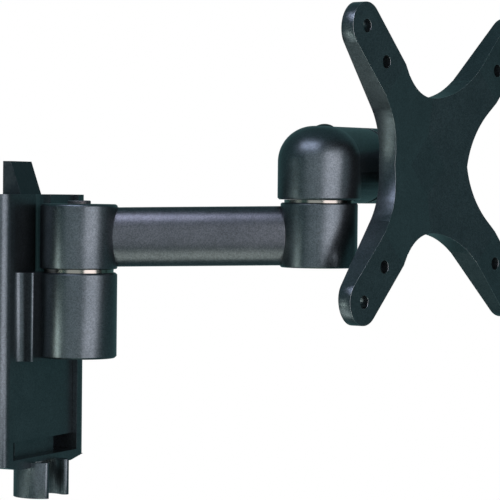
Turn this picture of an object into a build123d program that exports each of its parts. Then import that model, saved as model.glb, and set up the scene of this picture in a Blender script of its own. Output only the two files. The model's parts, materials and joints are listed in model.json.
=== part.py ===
from build123d import *
import os
from math import atan2, cos, degrees, radians, sin, sqrt

# Full motion TV wall mount: wall unit, swinging arm, elbow and a tilting VESA plate.
# Frame: origin in the middle of the wall face, +Z up, X across, and the mount
# reaches out from the wall along -Y. It is drawn part folded: the arm swung
# across by ARM_YAW, and the screen plate turned back by HEAD_YAW.

# ---- pose of the drawn mount (degrees about +Z, from straight out) ----
ARM_YAW = 25.4
HEAD_YAW = -13.7

# ---- wall unit ----
HOUSING_W, HOUSING_H, HOUSING_D = 65.0, 101.0, 15.0
SIDE_WALL = 8.0             # thickness of each side wall
SIDE_R = 5.0                # rounded front edges of the side walls
WEB_FRONT = 10.0            # front of the web between the side walls
FLOOR_T = 2.1               # lip across the foot of the channel
WINDOW_IN = 15.0            # the corner windows in the web start here
WINDOW_H = 12.0
BRACKET_T = 4.0
BRACKET_BOTTOM, BRACKET_TOP = -49.5, 44.0
BRACKET_BACK_W, BRACKET_FRONT_W = 42.0, 48.0    # dovetail: wider at the front
TONGUE_W, TONGUE_T = 16.0, 7.7
TONGUE_TOP, TONGUE_TIP_T = 63.0, 3.3
SLIDE_FIT = 0.2             # play between the bracket and the housing
WALL_HOLE_X, WALL_HOLE_Z, WALL_HOLE_R = 30.0, 64.0, 2.75
CSK_R, CSK_DEPTH = 5.25, 2.5
CLIP_R, CLIP_BORE_R, CLIP_AXIS_Y = 11.0, 7.9, -13.7
CLIP_BOTTOM = -64.0
CLIP_SLOT = 46.0            # half angle of the slot between the cable clip's round-ended jaws
ROOT_T = 1.8                # thickening under the housing that carries the clip
BASE_FRONT = 13.0           # front of the arm base plate
BASE_BOTTOM = -42.1
BLOCK_W, BLOCK_FRONT = 36.8, 19.2
BLOCK_FOOT = 3.0            # blend between the block and the arm base plate
BASE_SCREW_X, BASE_SCREW_Z = 13.5, (-4.0, 14.0)
SET_SCREW_R, SET_SCREW_LENGTH = 2.0, 16.0
SET_SCREW_Y, SET_SCREW_Z = -6.3, -20.0

# ---- pivots ----
SHOULDER_Y = -28.5
HUB_R = 14.6
BASE_HUB = (-10.8, 21.3)            # bottom and top of each hub along Z
SHOULDER_HUB = (22.7, 47.1)
ELBOW_HUB = (24.0, 48.4)
ELBOW_BOTTOM = 49.55
BUSH_R, BORE_R, SHANK_R, THREAD_R = 6.5, 5.05, 5.0, 4.0
COUNTERBORE_R, COUNTERBORE_DEPTH = 10.0, 9.0
WASHER_R, THRUST_R = 9.0, 13.2
HEAD_R, HEAD_T = 8.5, 4.4
SEAT_T, SPRING_T, SPRING_RISE = 1.0, 0.8, 0.4
GAP = 0.05                          # running gap between faces that turn

# ---- arm ----
ARM_LENGTH = 90.5
TUBE_R, TUBE_BORE_R = 11.2, 9.0     # half heights of the oval tube, outside and inside
TUBE_HALF_WIDTH, BORE_HALF_WIDTH = 6.8, 4.6
TUBE_Z, TUBE_RISE = 34.5, 1.6       # tube axis at the shoulder, and its rise to the elbow
SPIGOT_LENGTH = 15.0
PIN_R, PIN_OUT = 1.5, 23.0

# ---- elbow ----
DOME_R, DOME_TOP, DOME_ROUND = 15.8, 77.4, 13.6
BARREL_R, BARREL_Z, BARREL_LENGTH = 14.6, 62.8, 26.4
CROWN_X, CROWN_R, CROWN_HEAD_R, CROWN_PROUD = 2.9, 2.5, 3.3, 0.9

# ---- screen plate ----
PLATE_X, PLATE_OUT = 29.4, 36.0     # plate centre from the elbow axis, pads from the tilt axis
TIP_R = 8.7                         # half the width of each of the four limbs
WAIST_X, WAIST_Z = 24.5, 25.6
VESA_SPAN = 50.0 * sqrt(2)          # plate centre to the outer holes
MIDDLE_HALF = 38.0
CREASE, RECESS, RECESS_FLAT = 44.0, 6.6, 8.0    # sunken middle, and where it starts and ends
TIP_DEPTH, BACK_SLOPE, BACK_FLAT = 5.0, 0.116, 10.0
SKIN, RIB_T, BOSS_R = 2.8, 2.4, 5.2
VESA_HOLE_R = 2.5
NECK_HALF = 9.0                     # half height of the neck from the plate to the tilt hub
TILT_HUB_LENGTH = 16.4
WASHER_GAP = 1.2                    # room for the friction washer between barrel and tilt hub
EDGE = 0.7


def block(x0, x1, y0, y1, z0, z1):
    return Pos((x0 + x1) / 2, (y0 + y1) / 2, (z0 + z1) / 2) * Box(x1 - x0, y1 - y0, z1 - z0)


def rod(radius, z0, z1, x=0.0, y=0.0):
    return Pos(x, y, (z0 + z1) / 2) * Cylinder(radius, z1 - z0)


def ring(outer, inner, z0, z1):
    return rod(outer, z0, z1) - rod(inner, z0 - 1, z1 + 1)


def along_x(solid):
    """Turn a solid made on the Z axis so that its Z runs along +X."""
    return Rot(0, 90, 0) * solid


def along_y(solid):
    """Turn a solid made on the Z axis so that its Z runs along -Y."""
    return Rot(90, 0, 0) * solid


def prism_y(points, y0, y1):
    """Extrude an outline given as (x, z) points from y0 to y1."""
    face = Plane.XZ * make_face(Polyline(*points, close=True))
    return Pos(0, y1, 0) * extrude(face, amount=y1 - y0)


def prism_z(points, z0, z1):
    face = make_face(Polyline(*points, close=True))
    return Pos(0, 0, z0) * extrude(face, amount=z1 - z0)


def dovetail(back_w, front_w, depth, z0, z1):
    corners = [(-back_w / 2, 0), (back_w / 2, 0), (front_w / 2, -depth), (-front_w / 2, -depth)]
    return prism_z(corners, z0, z1)


# Placements: the arm turns about the shoulder axis, the elbow and plate about the elbow axis.
ARM = Pos(0, SHOULDER_Y, 0) * Rot(0, 0, ARM_YAW)
ELBOW_AT = (ARM_LENGTH * sin(radians(ARM_YAW)), SHOULDER_Y - ARM_LENGTH * cos(radians(ARM_YAW)))
ELBOW = Pos(ELBOW_AT[0], ELBOW_AT[1], 0) * Rot(0, 0, HEAD_YAW)
SHOULDER = Pos(0, SHOULDER_Y, 0)
TILT = Pos(0, 0, BARREL_Z)


# ---------------------------------------------------------------- wall unit
def wall_bracket():
    plate = dovetail(BRACKET_BACK_W, BRACKET_FRONT_W, BRACKET_T, BRACKET_BOTTOM, BRACKET_TOP)
    side = [
        (0, BRACKET_BOTTOM),
        (0, TONGUE_TOP),
        (-TONGUE_TIP_T, TONGUE_TOP),
        (-TONGUE_T, HOUSING_H / 2),
        (-TONGUE_T, BRACKET_BOTTOM),
    ]
    face = Plane.YZ * make_face(Polyline(*side, close=True))
    tongue = Pos(-TONGUE_W / 2, 0, 0) * extrude(face, amount=TONGUE_W)
    bracket = plate + tongue
    for x in (-WALL_HOLE_X / 2, WALL_HOLE_X / 2):
        for z in (-WALL_HOLE_Z / 2, WALL_HOLE_Z / 2):
            hole = rod(WALL_HOLE_R, -1, BRACKET_T + 1)
            sink = Pos(0, 0, BRACKET_T - CSK_DEPTH / 2) * Cone(WALL_HOLE_R, CSK_R, CSK_DEPTH)
            bracket -= Pos(x, 0, z) * along_y(hole + sink)
    return bracket


def cable_clip():
    """Open ring below the housing, its slot facing the room."""
    tip_r = (CLIP_R - CLIP_BORE_R) / 2
    mid_r = CLIP_R - tip_r
    cut = radians(CLIP_SLOT) + tip_r / mid_r
    reach = 3 * CLIP_R
    half = reach * sin(cut) / cos(cut)
    bottom = -HOUSING_H / 2
    jaw = ring(CLIP_R, CLIP_BORE_R, CLIP_BOTTOM, bottom)
    jaw -= prism_z([(0, 0), (-half, -reach), (half, -reach)], CLIP_BOTTOM - 1, bottom + 1)
    for side in (-1, 1):
        jaw += rod(tip_r, CLIP_BOTTOM, bottom, side * mid_r * sin(cut), -mid_r * cos(cut))
    return Pos(0, CLIP_AXIS_Y, 0) * jaw


def channel_housing():
    top, bottom = HOUSING_H / 2, -HOUSING_H / 2
    inner = HOUSING_W / 2 - SIDE_WALL
    body = block(-HOUSING_W / 2, HOUSING_W / 2, -HOUSING_D, 0, bottom, top)
    front_edges = body.edges().filter_by(Axis.Z).group_by(Axis.Y)[0]
    body = fillet(front_edges, SIDE_R)
    body -= block(-inner, inner, -HOUSING_D - 1, -WEB_FRONT, bottom + FLOOR_T, top + 1)
    root = [(-30, bottom), (-20, bottom - ROOT_T), (20, bottom - ROOT_T), (30, bottom)]
    body += prism_y(root, -HOUSING_D, -1.0)
    body -= rod(CLIP_BORE_R, CLIP_BOTTOM, bottom, 0, CLIP_AXIS_Y)
    body += cable_clip()
    fit_w = 2 * SLIDE_FIT
    low = bottom - ROOT_T - 1
    cavity_depth = BRACKET_T + SLIDE_FIT
    body -= dovetail(BRACKET_BACK_W + fit_w, BRACKET_FRONT_W + fit_w, cavity_depth, low, BRACKET_TOP)
    groove = TONGUE_W / 2 + SLIDE_FIT
    body -= block(-groove, groove, -TONGUE_T - SLIDE_FIT, 1, low, top + 1)
    for side in (-1, 1):
        window = (WINDOW_IN, inner) if side > 0 else (-inner, -WINDOW_IN)
        floor = bottom + FLOOR_T
        body -= block(*window, -WEB_FRONT - 1, -BRACKET_T, floor, floor + WINDOW_H)
    head = Pos(0, 0, 5.3) * Cone(4.2, 2.2, 2.2)
    hole = rod(2.2, 4, WEB_FRONT + 1) + head
    for x in (-BASE_SCREW_X, BASE_SCREW_X):
        for z in BASE_SCREW_Z:
            body -= Pos(x, 0, z) * along_y(hole)
    body -= lock_screw_axis() * rod(SET_SCREW_R, 0, HOUSING_W)
    return body


def lock_screw_axis():
    """Axis of the set screw that clamps the housing to the bracket's tongue, along +X."""
    return Pos(TONGUE_W / 2, SET_SCREW_Y, SET_SCREW_Z) * Rot(0, 90, 0)


def lock_screw():
    screw = rod(SET_SCREW_R, 0, SET_SCREW_LENGTH)
    screw -= hex_socket(2.0, SET_SCREW_LENGTH - 2.2, SET_SCREW_LENGTH)
    return lock_screw_axis() * screw


def hex_socket(across, z0, z1):
    outline = RegularPolygon(radius=across / 2, side_count=6, major_radius=False)
    return Pos(0, 0, z0) * extrude(outline, amount=z1 - z0 + 0.01)


def arm_base():
    top = HOUSING_H / 2
    half = HOUSING_W / 2 - SIDE_WALL - SLIDE_FIT
    base = block(-half, half, -BASE_FRONT, -WEB_FRONT, BASE_BOTTOM, top)
    pad = block(-BLOCK_W / 2, BLOCK_W / 2, -BLOCK_FRONT, -WEB_FRONT, BASE_HUB[0] - 1, BASE_HUB[1])
    pad = fillet(pad.edges().filter_by(Axis.Z).group_by(Axis.Y)[0], 0.8)
    base += pad
    upright = base.edges().filter_by(Axis.Z)
    foot = [e for e in upright if abs(e.center().Y + BASE_FRONT) < 0.01
            and abs(abs(e.center().X) - BLOCK_W / 2) < 0.01]
    base = fillet(foot, BLOCK_FOOT)
    hub = rod(HUB_R, *BASE_HUB)
    hub = chamfer(hub.edges().filter_by(GeomType.CIRCLE), EDGE)
    base += SHOULDER * hub
    base -= SHOULDER * rod(HUB_R + 1.9, BASE_HUB[1], top + 1)
    base -= SHOULDER * rod(BUSH_R, BASE_HUB[0], BASE_HUB[1] + 1)
    base -= SHOULDER * rod(COUNTERBORE_R, BASE_HUB[0] - 1, BASE_HUB[0] + COUNTERBORE_DEPTH)
    for x in (-BASE_SCREW_X, BASE_SCREW_X):
        for z in BASE_SCREW_Z:
            base -= Pos(x, 0, z) * along_y(rod(2.0, WEB_FRONT - 1, 17.5))
    return base


def base_screws():
    screw = rod(2.0, 4.4, 17.0) + Pos(0, 0, 5.4) * Cone(4.0, 2.0, 2.0)
    screw -= hex_socket(2.5, 4.4 - 0.01, 6.0)
    places = [(x, z) for x in (-BASE_SCREW_X, BASE_SCREW_X) for z in BASE_SCREW_Z]
    return Compound([Pos(x, 0, z) * along_y(screw) for x, z in places])


# ------------------------------------------------- pieces shared by the three pivots
def bush(z0, z1):
    return ring(BUSH_R, BORE_R, z0, z1)


def thrust_washer(z0, z1):
    return ring(THRUST_R, BORE_R, z0, z1)


def seat_washer(z1):
    return ring(WASHER_R, BORE_R, z1 - SEAT_T, z1)


def spring_washers(z1):
    """Two conical washers, one upside down on the other, ending at z1."""
    cone = [
        (SHANK_R + 0.2, SPRING_RISE),
        (WASHER_R, 0),
        (WASHER_R, SPRING_T),
        (SHANK_R + 0.2, SPRING_RISE + SPRING_T),
    ]
    face = Plane.XZ * make_face(Polyline(*cone, close=True))
    washer = revolve(face, Axis.Z)
    step = SPRING_RISE + SPRING_T
    upper = Pos(0, 0, z1 - step) * washer
    lower = Pos(0, 0, z1 - step) * mirror(washer, about=Plane.XY)
    return Compound([upper, lower])


def pivot_bolt(seat_face, shoulder_face, end):
    """Shoulder bolt: head under the seat washer, threaded end beyond shoulder_face."""
    head_top = seat_face - SEAT_T - GAP - 2 * (SPRING_T + SPRING_RISE)
    head = rod(HEAD_R, head_top - HEAD_T, head_top)
    head = chamfer(head.edges().filter_by(GeomType.CIRCLE).sort_by(Axis.Z)[0], 0.8)
    bolt = head + rod(SHANK_R, head_top, shoulder_face) + rod(THREAD_R, shoulder_face, end)
    return bolt - hex_socket(6.0, head_top - HEAD_T, head_top - HEAD_T + 2.6)


# ---------------------------------------------------------------- arm
def tube_axis():
    """Placement whose -Y runs along the tube, from the shoulder up to the elbow."""
    slope = degrees(atan2(TUBE_RISE, ARM_LENGTH))
    return Pos(0, 0, TUBE_Z) * Rot(-slope, 0, 0)


def oval_rod(half_width, half_height, z0, z1):
    """Upright oval bar drawn on Z; its height ends up vertical once it lies along the arm."""
    return Pos(0, 0, z0) * extrude(Ellipse(half_width, half_height), amount=z1 - z0)


def spigot():
    """Spigot at the shoulder end, from inside the hub into the tube."""
    return oval_rod(BORE_HALF_WIDTH, TUBE_BORE_R, HUB_R - 6, HUB_R + SPIGOT_LENGTH)


def shoulder_knuckle():
    bottom, top = SHOULDER_HUB
    hub = rod(HUB_R, bottom, top)
    rims = hub.edges().filter_by(GeomType.CIRCLE).sort_by(Axis.Z)
    hub = fillet(rims[-1], 1.2)
    hub = chamfer(hub.edges().filter_by(GeomType.CIRCLE).sort_by(Axis.Z)[0], 0.4)
    knuckle = hub + tube_axis() * along_y(spigot())
    knuckle -= rod(THREAD_R, bottom - 1, top - 5)
    knuckle -= rod(3.0, top - 6, top + 1)
    return knuckle - tube_pins()


def elbow_knuckle():
    bottom, top = ELBOW_HUB
    hub = rod(HUB_R, bottom, top)
    hub = chamfer(hub.edges().filter_by(GeomType.CIRCLE), 0.5)
    turned = Pos(0, 0, ARM_LENGTH) * Rot(180, 0, 0) * spigot()
    knuckle = Pos(0, -ARM_LENGTH, 0) * hub + tube_axis() * along_y(turned)
    bore = rod(BUSH_R, bottom, top + 1) + rod(COUNTERBORE_R, bottom - 1, bottom + COUNTERBORE_DEPTH)
    knuckle -= Pos(0, -ARM_LENGTH, 0) * bore
    return knuckle - tube_pins()


def arm_tube():
    """Oval tube pushed over both spigots, its ends coped round the hubs."""
    bar = oval_rod(TUBE_HALF_WIDTH, TUBE_R, 0, ARM_LENGTH)
    bore = oval_rod(BORE_HALF_WIDTH, TUBE_BORE_R, -1, ARM_LENGTH + 1)
    tube = tube_axis() * along_y(bar - bore)
    tube -= rod(HUB_R, -20, 60) + rod(HUB_R, -20, 60, 0, -ARM_LENGTH)
    return tube.solids().sort_by(SortBy.VOLUME)[-1] - tube_pins()


def tube_pins():
    """Roll pins driven up through the underside of the tube into the two spigots."""
    pins = []
    for out in (PIN_OUT, ARM_LENGTH - PIN_OUT):
        axis_z = TUBE_Z + TUBE_RISE * out / ARM_LENGTH
        pins.append(rod(PIN_R, axis_z - TUBE_R + 0.3, axis_z - 1.5, 0, -out))
    return Compound(pins)


def shoulder_cap():
    top = SHOULDER_HUB[1]
    disc = rod(4.4, top, top + 1.3)
    disc = fillet(disc.edges().filter_by(GeomType.CIRCLE).sort_by(Axis.Z)[-1], 0.5)
    return disc + rod(3.0, top - 4, top)


# ---------------------------------------------------------------- elbow
def elbow_casting():
    hub = rod(DOME_R, ELBOW_BOTTOM, DOME_TOP)
    hub = fillet(hub.edges().filter_by(GeomType.CIRCLE).sort_by(Axis.Z)[-1], DOME_ROUND)
    hub = chamfer(hub.edges().filter_by(GeomType.CIRCLE).sort_by(Axis.Z)[0], EDGE)
    barrel = rod(BARREL_R, 0, BARREL_LENGTH)
    barrel = chamfer(barrel.edges().filter_by(GeomType.CIRCLE).sort_by(Axis.Z)[-1], 0.5)
    casting = TILT * along_x(barrel)
    casting -= rod(DOME_R + 0.2, BARREL_Z - BARREL_R - 1, ELBOW_BOTTOM)
    casting += hub
    casting -= rod(THREAD_R, ELBOW_BOTTOM - 1, ELBOW_BOTTOM + 16.5)
    casting -= TILT * along_x(rod(THREAD_R, 7.5, BARREL_LENGTH + 1))
    casting -= pivot_lock_screw()
    return casting


def pivot_lock_screw():
    """Domed screw in the crown of the elbow, whose end bears on the pivot bolt."""
    top = DOME_TOP + CROWN_PROUD
    dome_r = (CROWN_HEAD_R**2 + CROWN_PROUD**2) / (2 * CROWN_PROUD)
    head = rod(CROWN_HEAD_R, DOME_TOP - 0.8, top) & (Pos(0, 0, top - dome_r) * Sphere(dome_r))
    return Pos(CROWN_X, 0, 0) * (head + rod(CROWN_R, ELBOW_BOTTOM + 14.5, DOME_TOP - 0.8))


def tilt_pieces():
    """Nodes on the tilt axis: they are drawn on +Z with 0 at the elbow axis, then laid along X."""
    face = BARREL_LENGTH + WASHER_GAP
    seat = face + TILT_HUB_LENGTH - COUNTERBORE_DEPTH + 1
    head_face = seat + SEAT_T + GAP + 2 * (SPRING_T + SPRING_RISE)
    head = rod(HEAD_R, head_face, head_face + HEAD_T - 0.6)
    head = chamfer(head.edges().filter_by(GeomType.CIRCLE).sort_by(Axis.Z)[-1], 0.8)
    bolt = head + rod(SHANK_R, BARREL_LENGTH, head_face) + rod(THREAD_R, 8.5, BARREL_LENGTH)
    bolt -= hex_socket(6.0, head_face + 1.2, head_face + HEAD_T - 0.6)
    return {
        "tilt_bolt": bolt,
        "tilt_spring_washers": spring_washers(head_face),
        "tilt_bush": bush(face, seat),
        "tilt_friction_washer": thrust_washer(BARREL_LENGTH + GAP * 2, face),
        "tilt_seat_washer": seat_washer(seat + SEAT_T),
    }


# ---------------------------------------------------------------- screen plate
def limb_outline():
    """Outline of the X: four round-ended limbs on the diagonals, joined by concave arcs."""
    limbs = Sketch()
    for turn in (45, -45):
        limbs += Rot(0, 0, turn) * SlotCenterToCenter(2 * VESA_SPAN, 2 * TIP_R)
    tangent = TIP_R * sqrt(2)
    middle = Rot(0, 0, 45) * Rectangle(2 * MIDDLE_HALF, 2 * MIDDLE_HALF)
    for waist, turn in ((WAIST_X, 0), (WAIST_Z, 90), (WAIST_X, 180), (WAIST_Z, 270)):
        centre = (sqrt(2) * waist - tangent) / (sqrt(2) - 1)
        middle -= Rot(0, 0, turn) * Pos(centre, 0) * Circle(centre - waist)
    return limbs + middle


def pyramid(half0, depth0, half1, depth1):
    """Four-sided pyramid about the plate's axis, its sides square to the diagonals."""
    big = Plane.XY.offset(depth0) * Rot(0, 0, 45) * Rectangle(2 * half0, 2 * half0)
    small = Plane.XY.offset(depth1) * Rot(0, 0, 45) * Rectangle(2 * half1, 2 * half1)
    return loft([big.face(), small.face()], ruled=True)


def vesa_holes(radius, depth0, depth1):
    spots = [(sx * h, sy * h) for h in (37.5, 50.0) for sx in (-1, 1) for sy in (-1, 1)]
    return [rod(radius, depth0, depth1, x, y) for x, y in spots]


def vesa_plate():
    """Hollow casting, drawn with the pads at z = 0 and the back towards +Z, then stood up."""
    outline = limb_outline()
    tip = VESA_SPAN + TIP_R
    middle_depth = TIP_DEPTH + BACK_SLOPE * (tip - BACK_FLAT)
    envelope = pyramid(tip + 10, TIP_DEPTH - 10 * BACK_SLOPE, BACK_FLAT, middle_depth)
    envelope += Pos(0, 0, 2) * Box(160, 160, 4)
    plate = extrude(outline, amount=20) & envelope
    slope = RECESS / (CREASE - RECESS_FLAT)
    recess = pyramid(CREASE + 2, -2 * slope, RECESS_FLAT, RECESS)
    plate -= recess

    hollow = extrude(offset(outline, amount=-SKIN), amount=20)
    hollow -= Pos(0, 0, SKIN / 2) * Box(160, 160, SKIN)
    hollow -= Pos(0, 0, SKIN) * recess
    for boss in vesa_holes(BOSS_R, 0, 20):
        hollow -= boss
    for turn in (45, -45):
        hollow -= Rot(0, 0, turn) * Pos(0, 0, 10) * Box(2 * VESA_SPAN, RIB_T, 20)
    neck_x = BARREL_LENGTH + WASHER_GAP - PLATE_X
    neck = block(neck_x, neck_x + TILT_HUB_LENGTH, -NECK_HALF, NECK_HALF, RECESS, PLATE_OUT)
    hollow -= neck
    plate -= hollow

    plate += neck
    plate += Pos(neck_x, 0, PLATE_OUT) * along_x(rod(BARREL_R, 0, TILT_HUB_LENGTH))
    seat = TILT_HUB_LENGTH - COUNTERBORE_DEPTH + 1
    bore = rod(BUSH_R, -1, seat + 1) + rod(COUNTERBORE_R, seat, TILT_HUB_LENGTH + 1)
    plate -= Pos(neck_x, 0, PLATE_OUT) * along_x(bore)
    for hole in vesa_holes(VESA_HOLE_R, -1, 20):
        plate -= hole
    return Pos(PLATE_X, -PLATE_OUT, BARREL_Z) * Rot(-90, 0, 0) * plate


# ---------------------------------------------------------------- the whole mount
def all_pieces():
    base_seat = BASE_HUB[0] + COUNTERBORE_DEPTH
    elbow_seat = ELBOW_HUB[0] + COUNTERBORE_DEPTH
    elbow_end = Pos(0, -ARM_LENGTH, 0)
    pieces = {
        "wall_bracket": wall_bracket(),
        "channel_housing": channel_housing(),
        "arm_base": arm_base(),
        "base_screws": base_screws(),
        "lock_screw": lock_screw(),
        "shoulder_bush": SHOULDER * bush(base_seat, BASE_HUB[1]),
        "shoulder_thrust_washer": SHOULDER * thrust_washer(BASE_HUB[1], SHOULDER_HUB[0] - 2 * GAP),
        "shoulder_seat_washer": SHOULDER * seat_washer(base_seat),
        "shoulder_knuckle": ARM * shoulder_knuckle(),
        "arm_tube": ARM * arm_tube(),
        "elbow_knuckle": ARM * elbow_knuckle(),
        "tube_pins": ARM * tube_pins(),
        "shoulder_cap": ARM * shoulder_cap(),
        "shoulder_bolt": ARM * pivot_bolt(base_seat, SHOULDER_HUB[0], SHOULDER_HUB[0] + 16),
        "shoulder_spring_washers": ARM * spring_washers(base_seat - SEAT_T - GAP),
        "elbow_bush": ARM * elbow_end * bush(elbow_seat, ELBOW_HUB[1]),
        "elbow_thrust_washer": ARM * elbow_end * thrust_washer(ELBOW_HUB[1], ELBOW_BOTTOM - 2 * GAP),
        "elbow_seat_washer": ARM * elbow_end * seat_washer(elbow_seat),
        "elbow_casting": ELBOW * elbow_casting(),
        "elbow_bolt": ELBOW * pivot_bolt(elbow_seat, ELBOW_BOTTOM, ELBOW_BOTTOM + 14.5),
        "elbow_spring_washers": ELBOW * spring_washers(elbow_seat - SEAT_T - GAP),
        "pivot_lock_screw": ELBOW * pivot_lock_screw(),
        "vesa_plate": ELBOW * vesa_plate(),
    }
    for name, piece in tilt_pieces().items():
        pieces[name] = ELBOW * TILT * along_x(piece)
    return pieces


def main():
    os.makedirs("parts", exist_ok=True)
    for name, piece in all_pieces().items():
        export_step(piece, f"parts/{name}.step")


main()
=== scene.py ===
import json
import math

import bpy
from mathutils import Matrix, Vector


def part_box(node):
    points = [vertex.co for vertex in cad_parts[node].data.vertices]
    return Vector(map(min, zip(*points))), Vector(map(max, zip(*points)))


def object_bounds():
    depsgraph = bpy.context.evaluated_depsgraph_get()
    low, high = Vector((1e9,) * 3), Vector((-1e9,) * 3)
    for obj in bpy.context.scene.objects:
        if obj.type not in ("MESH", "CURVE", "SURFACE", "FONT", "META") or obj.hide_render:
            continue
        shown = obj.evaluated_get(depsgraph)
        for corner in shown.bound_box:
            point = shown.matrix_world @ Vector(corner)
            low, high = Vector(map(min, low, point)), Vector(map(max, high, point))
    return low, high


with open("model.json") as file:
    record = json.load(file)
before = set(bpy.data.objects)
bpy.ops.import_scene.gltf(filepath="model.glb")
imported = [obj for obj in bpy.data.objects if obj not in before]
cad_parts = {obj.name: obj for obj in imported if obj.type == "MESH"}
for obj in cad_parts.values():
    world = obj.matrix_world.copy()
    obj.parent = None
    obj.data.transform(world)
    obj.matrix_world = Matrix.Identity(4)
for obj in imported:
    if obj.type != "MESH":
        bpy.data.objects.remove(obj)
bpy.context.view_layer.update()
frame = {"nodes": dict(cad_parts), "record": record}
scene = bpy.context.scene
nodes = frame["nodes"]

FLOOR_Z, FLOOR_R = -0.50, 3.3

# camera solved on the plate's eight holes: degrees, metres, millimetres
CAMERA_YAW, CAMERA_PITCH, CAMERA_ROLL = -65.57, -1.397, 0.594
CAMERA_PLACE = (-0.8218, -0.4727, 0.0531)
SENSOR_MM, LENS_MM = 36.0, 178.06

WELD_DISTANCE = 0.00001             # joins the CAD mesh's doubled vertices
FLAT_ANGLE = math.radians(0.1)      # triangles within this are one flat face
SHARP_ANGLE = math.radians(28)      # edges sharper than this are rounded
BEVEL_SEGMENTS = 3
EDGE_SLOT = 1                       # material slot of the plate's rounded edges, which carry a painted highlight


# ---------------------------------------------------------------- node helpers
class Shader:
    """A material's node tree, with short calls for the nodes used here."""

    def __init__(self, name):
        self.material = bpy.data.materials.new(name)
        self.material.use_nodes = True
        self.tree = self.material.node_tree
        self.tree.nodes.clear()
        self.out = self.node("ShaderNodeOutputMaterial")
        self.bsdf = self.node("ShaderNodeBsdfPrincipled")
        self.link(self.bsdf.outputs[0], self.out.inputs["Surface"])
        self.place = self.node("ShaderNodeTexCoord").outputs["Object"]

    def node(self, kind, **settings):
        made = self.tree.nodes.new(kind)
        for key, value in settings.items():
            setattr(made, key, value)
        return made

    def link(self, a, b):
        self.tree.links.new(a, b)

    def stretched(self, x, y, z):
        mapping = self.node("ShaderNodeMapping")
        mapping.inputs["Scale"].default_value = (x, y, z)
        self.link(self.place, mapping.inputs["Vector"])
        return mapping.outputs["Vector"]

    def noise(self, scale, detail=3.0, rough=0.55, vector=None):
        tex = self.node("ShaderNodeTexNoise")
        tex.inputs["Scale"].default_value = scale
        tex.inputs["Detail"].default_value = detail
        tex.inputs["Roughness"].default_value = rough
        self.link(vector or self.place, tex.inputs["Vector"])
        return tex.outputs["Fac"]

    def flakes(self, scale):
        tex = self.node("ShaderNodeTexVoronoi")
        tex.inputs["Scale"].default_value = scale
        self.link(self.place, tex.inputs["Vector"])
        grey = self.node("ShaderNodeSeparateColor")
        self.link(tex.outputs["Color"], grey.inputs[0])
        return grey.outputs[0]

    def ramp(self, value, *stops):
        made = self.node("ShaderNodeValToRGB")
        elements = made.color_ramp.elements
        while len(elements) < len(stops):
            elements.new(0.5)
        for element, (at, colour) in zip(elements, stops):
            element.position = at
            element.color = (*colour, 1.0)
        self.link(value, made.inputs["Fac"])
        return made.outputs["Color"]

    def scaled(self, value, low, high):
        made = self.node("ShaderNodeMapRange")
        made.inputs["To Min"].default_value = low
        made.inputs["To Max"].default_value = high
        self.link(value, made.inputs["Value"])
        return made.outputs["Result"]

    def multiply(self, factor, a, b):
        """Multiply colour a by colour b, by the given factor."""
        made = self.node("ShaderNodeMix", data_type="RGBA", blend_type="MULTIPLY")
        fac, first, second = made.inputs[0], made.inputs[6], made.inputs[7]
        fac.default_value = factor
        self.link(a, first)
        self.link(b, second)
        return made.outputs[2]

    def bump(self, height, strength, distance, normal=None):
        made = self.node("ShaderNodeBump")
        made.inputs["Strength"].default_value = strength
        made.inputs["Distance"].default_value = distance
        self.link(height, made.inputs["Height"])
        if normal is not None:
            self.link(normal, made.inputs["Normal"])
        return made.outputs["Normal"]

    def put(self, **sockets):
        for name, value in sockets.items():
            socket = self.bsdf.inputs[name.replace("_", " ")]
            if hasattr(value, "is_linked"):
                self.link(value, socket)
            else:
                socket.default_value = value
        return self.material


def powder_coat(name, dark, light, metallic, rough, grain):
    """Metallic powder coat: orange-peel texture, fine flakes and slightly uneven gloss."""
    s = Shader(name)
    mottle = s.noise(90, 4.0)
    colour = s.ramp(mottle, (0.3, dark), (0.7, light))
    speck = s.ramp(s.flakes(2600), (0.0, (0.72, 0.72, 0.72)), (1.0, (1.28, 1.28, 1.28)))
    colour = s.multiply(grain, colour, speck)
    peel = s.noise(1500, 2.0)
    fine = s.noise(4200, 1.0)
    rough_out = s.scaled(s.noise(700, 3.0), rough - 0.05, rough + 0.07)
    normal = s.bump(fine, 0.10, 0.00010, s.bump(peel, 0.10, 0.00016))
    return s.put(Base_Color=colour, Metallic=metallic, Roughness=rough_out, Normal=normal,
                 Coat_Weight=0.06, Coat_Roughness=0.30)


def plain_metal(name, dark, light, rough, brush=(1, 1, 1)):
    """Bare or plated metal with a fine drawn or turned grain."""
    s = Shader(name)
    grain = s.noise(900, 5.0, 0.6, s.stretched(*brush))
    colour = s.ramp(grain, (0.3, dark), (0.7, light))
    rough_out = s.scaled(s.noise(1800, 3.0, 0.6, s.stretched(*brush)), rough - 0.06, rough + 0.08)
    normal = s.bump(grain, 0.10, 0.00008)
    return s.put(Base_Color=colour, Metallic=1.0, Roughness=rough_out, Normal=normal)


def moulded(name, dark, light, rough):
    """Moulded plastic with a fine spark-eroded texture."""
    s = Shader(name)
    colour = s.ramp(s.noise(160, 4.0), (0.3, dark), (0.7, light))
    rough_out = s.scaled(s.noise(900, 3.0), rough - 0.06, rough + 0.06)
    normal = s.bump(s.noise(2400, 2.0), 0.2, 0.00012)
    return s.put(Base_Color=colour, Roughness=rough_out, Normal=normal)


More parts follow.
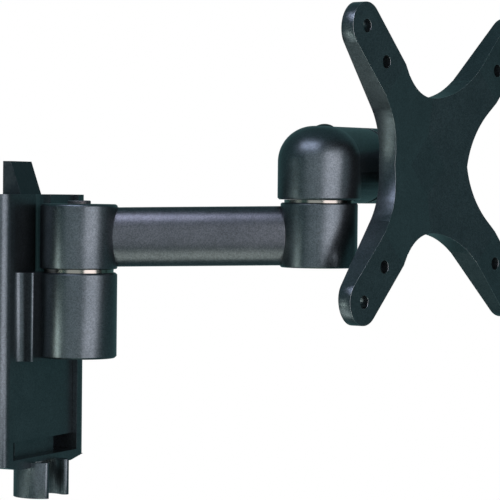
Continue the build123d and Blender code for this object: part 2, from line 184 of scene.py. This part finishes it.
finishes = {
    "anthracite_coat": powder_coat(
        "anthracite_coat", (0.056, 0.072, 0.080), (0.072, 0.090, 0.099), 0.95, 0.33, 0.9),
    "tube_coat": powder_coat(
        "tube_coat", (0.064, 0.073, 0.083), (0.080, 0.089, 0.100), 0.95, 0.33, 0.9),
    # lighter copy of the plate's coat for its rounded edges: a painted highlight
    "edge_painted_highlight": powder_coat(
        "edge_painted_highlight", (0.22, 0.25, 0.26), (0.28, 0.31, 0.32), 0.95, 0.32, 0.3),
    "black_steel": plain_metal("black_steel", (0.034, 0.042, 0.049), (0.050, 0.060, 0.068), 0.42),
    "zinc_steel": plain_metal("zinc_steel", (0.50, 0.51, 0.52), (0.62, 0.63, 0.64), 0.30),
    "polished_steel": plain_metal(
        "polished_steel", (0.20, 0.198, 0.175), (0.25, 0.247, 0.22), 0.17, (0.2, 0.2, 2)),
    "bush_plastic": moulded("bush_plastic", (0.66, 0.65, 0.60), (0.72, 0.71, 0.66), 0.45),
    "friction_plastic": moulded("friction_plastic", (0.018, 0.018, 0.019), (0.026, 0.026, 0.027), 0.5),
    "cap_plastic": moulded("cap_plastic", (0.022, 0.026, 0.029), (0.030, 0.035, 0.038), 0.4),
}

slot_of = {}
for entry in frame["record"]["subparts"]:
    slot_of[entry["node"]] = entry["material_slot"]
for name, obj in nodes.items():
    finish = finishes[slot_of[name]]
    if obj.material_slots:
        for slot in obj.material_slots:
            slot.material = finish
    else:
        obj.data.materials.append(finish)


# ---------------------------------------------------------------- rounded edges
# bevel width in metres; the plate's rounded edges also get a lighter copy of its coat, a painted
# highlight
EDGE_ROUND = {
    "channel_housing": 0.0007,
    "arm_base": 0.0006,
    "wall_bracket": 0.0004,
    "vesa_plate": 0.0011,
    "arm_tube": 0.0005,
    "elbow_casting": 0.0004,
    "shoulder_knuckle": 0.0003,
    "elbow_knuckle": 0.0003,
}
for name, width in EDGE_ROUND.items():
    obj = nodes[name]
    weld = obj.modifiers.new("weld", "WELD")
    weld.merge_threshold = WELD_DISTANCE
    flats = obj.modifiers.new("whole_flats", "DECIMATE")
    flats.decimate_type = "DISSOLVE"
    flats.angle_limit = FLAT_ANGLE
    bevel = obj.modifiers.new("edge_round", "BEVEL")
    bevel.width = width
    bevel.segments = BEVEL_SEGMENTS
    bevel.limit_method = "ANGLE"
    bevel.angle_limit = SHARP_ANGLE
    bevel.harden_normals = True
    bevel.use_clamp_overlap = True
    # the plate's bevel faces take the lighter coat: a painted highlight along its edges
    if name == "vesa_plate":
        obj.data.materials.append(finishes["edge_painted_highlight"])
        bevel.material = EDGE_SLOT


# ---------------------------------------------------------------- camera
def camera_axes(yaw, pitch, roll):
    yaw, pitch, roll = (math.radians(v) for v in (yaw, pitch, roll))
    ahead = Vector((-math.sin(yaw) * math.cos(pitch), math.cos(yaw) * math.cos(pitch), math.sin(pitch)))
    right = ahead.cross(Vector((0, 0, 1))).normalized()
    up = right.cross(ahead)
    turned = right * math.cos(roll) + up * math.sin(roll)
    return ahead, turned, up * math.cos(roll) - right * math.sin(roll)


ahead, right, up = camera_axes(CAMERA_YAW, CAMERA_PITCH, CAMERA_ROLL)
cam_data = bpy.data.cameras.new("camera")
cam_data.sensor_width = SENSOR_MM
cam_data.lens = LENS_MM
cam_data.clip_start, cam_data.clip_end = 0.05, 200.0
camera = bpy.data.objects.new("camera", cam_data)
rotation = Matrix((right, up, -ahead)).transposed()
camera.matrix_world = Matrix.Translation(Vector(CAMERA_PLACE)) @ rotation.to_4x4()
scene.collection.objects.link(camera)
scene.camera = camera


# ---------------------------------------------------------------- floor and studio
def pale_floor():
    bpy.ops.mesh.primitive_circle_add(
        vertices=96, radius=FLOOR_R, fill_type="NGON", location=(0, 0, FLOOR_Z))
    floor = bpy.context.object
    floor.name = "floor"
    s = Shader("pale_floor")
    colour = s.ramp(s.noise(3.0, 4.0), (0.3, (0.87, 0.87, 0.87)), (0.7, (0.90, 0.90, 0.90)))
    floor.data.materials.append(
        s.put(Base_Color=colour, Roughness=0.9, Emission_Color=(1, 1, 1, 1), Emission_Strength=0.80))
    floor.visible_glossy = False
    floor.visible_diffuse = False


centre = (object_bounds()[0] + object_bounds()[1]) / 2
towards_camera = Vector((-ahead.x, -ahead.y, 0)).normalized()
sideways = Vector((right.x, right.y, 0)).normalized()


def softbox(name, side, height, distance, width, tall, power, colour, target=None):
    """Area light seen from target at side degrees to the camera's right, and aimed at it."""
    target = target or centre
    a, e = math.radians(side), math.radians(height)
    flat = towards_camera * math.cos(a) + sideways * math.sin(a)
    away = flat * math.cos(e) + Vector((0, 0, 1)) * math.sin(e)
    data = bpy.data.lights.new(name, "AREA")
    data.shape = "RECTANGLE"
    data.size, data.size_y = width, tall
    data.energy = power
    data.color = colour
    lamp = bpy.data.objects.new(name, data)
    lamp.location = target + away * distance
    lamp.rotation_mode = "QUATERNION"
    lamp.rotation_quaternion = away.to_track_quat("Z", "Y")
    lamp.visible_camera = False
    scene.collection.objects.link(lamp)


def studio_world(seen, lit):
    """White to the eye, and a dimmer even light on the object."""
    world = bpy.data.worlds.new("studio")
    world.use_nodes = True
    tree = world.node_tree
    tree.nodes.clear()
    out = tree.nodes.new("ShaderNodeOutputWorld")
    mix = tree.nodes.new("ShaderNodeMixShader")
    path = tree.nodes.new("ShaderNodeLightPath")
    for socket, (colour, strength) in ((1, lit), (2, seen)):
        back = tree.nodes.new("ShaderNodeBackground")
        back.inputs["Color"].default_value = (*colour, 1.0)
        back.inputs["Strength"].default_value = strength
        tree.links.new(back.outputs[0], mix.inputs[socket])
    tree.links.new(path.outputs["Is Camera Ray"], mix.inputs[0])
    tree.links.new(mix.outputs[0], out.inputs["Surface"])
    scene.world = world


def middle(node):
    low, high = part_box(node)
    return (low + high) / 2


# angles in degrees and sizes in metres, as softbox() states them
pale_floor()
studio_world(((1.0, 1.0, 1.0), 1.0), ((0.46, 0.96, 1.0), 0.21))
softbox("key", 36, 4, 0.52, 0.42, 0.60, 3.2, (1.0, 0.86, 0.91))
softbox("front", -15, 4, 1.2, 1.0, 1.2, 3.6, (1.0, 0.94, 0.98))
softbox("rim", -56, -16, 0.20, 0.035, 0.09, 0.09, (1.0, 1.0, 0.88), middle("shoulder_bush"))
softbox("top", -30, 56, 0.32, 0.24, 0.12, 0.60, (0.86, 0.80, 1.0), middle("arm_tube"))
softbox("low_fill", 0, -56, 0.40, 0.25, 0.25, 0.45, (1.0, 1.0, 0.86), middle("arm_tube"))
softbox("under", -84, -45, 0.6, 0.40, 0.36, 1.0, (1.0, 1.0, 0.93))
softbox("side", -72, -2, 0.8, 0.30, 0.45, 0.17, (1.0, 1.0, 1.0))
scene.view_settings.view_transform = "Standard"
